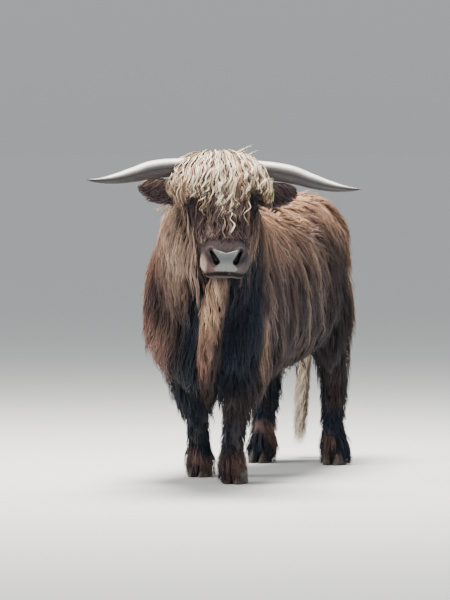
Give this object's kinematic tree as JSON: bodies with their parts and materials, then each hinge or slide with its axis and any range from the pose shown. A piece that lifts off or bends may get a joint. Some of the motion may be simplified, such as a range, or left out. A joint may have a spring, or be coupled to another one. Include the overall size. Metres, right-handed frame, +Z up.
{
  "type": "highland cow",
  "caption": "Long-haired red-brown highland cow standing with its head turned a little to its left, with wide horns, a cream forelock and a small ear tag.",
  "frame": {"origin": "middle of the cow's bounding box, at floor level", "axes": "+Z up; the cow faces -Y and its left side is +X"},
  "size_m": [0.9908, 2.0622, 1.3416],
  "materials": {
    "coat": "long red-brown hair, wavy, matt",
    "pale_hair": "long cream hair, wavy, matt",
    "horn": "pale grey horn, satin, darker at the tips",
    "hoof": "dark horn, matt",
    "eye": "wet, dark brown",
    "tag": "yellow-green moulded plastic, satin"
  },
  "bodies": {
    "root": {"head": "coat", "neck": "coat", "trunk": "coat", "dewlap": "coat", "ear_left": "coat", "ear_right": "coat", "foreleg_left": "coat", "foreleg_right": "coat", "hindleg_left": "coat", "hindleg_right": "coat", "tail_dock": "coat", "forelock": "pale_hair", "tail_switch": "pale_hair", "horn_left": "horn", "horn_right": "horn", "eye_left": "eye", "eye_right": "eye", "fore_hoof_left_a": "hoof", "fore_hoof_left_b": "hoof", "fore_hoof_right_a": "hoof", "fore_hoof_right_b": "hoof", "hind_hoof_left_a": "hoof", "hind_hoof_left_b": "hoof", "hind_hoof_right_a": "hoof", "hind_hoof_right_b": "hoof", "ear_tag": "tag"}
  },
  "joints": []
}
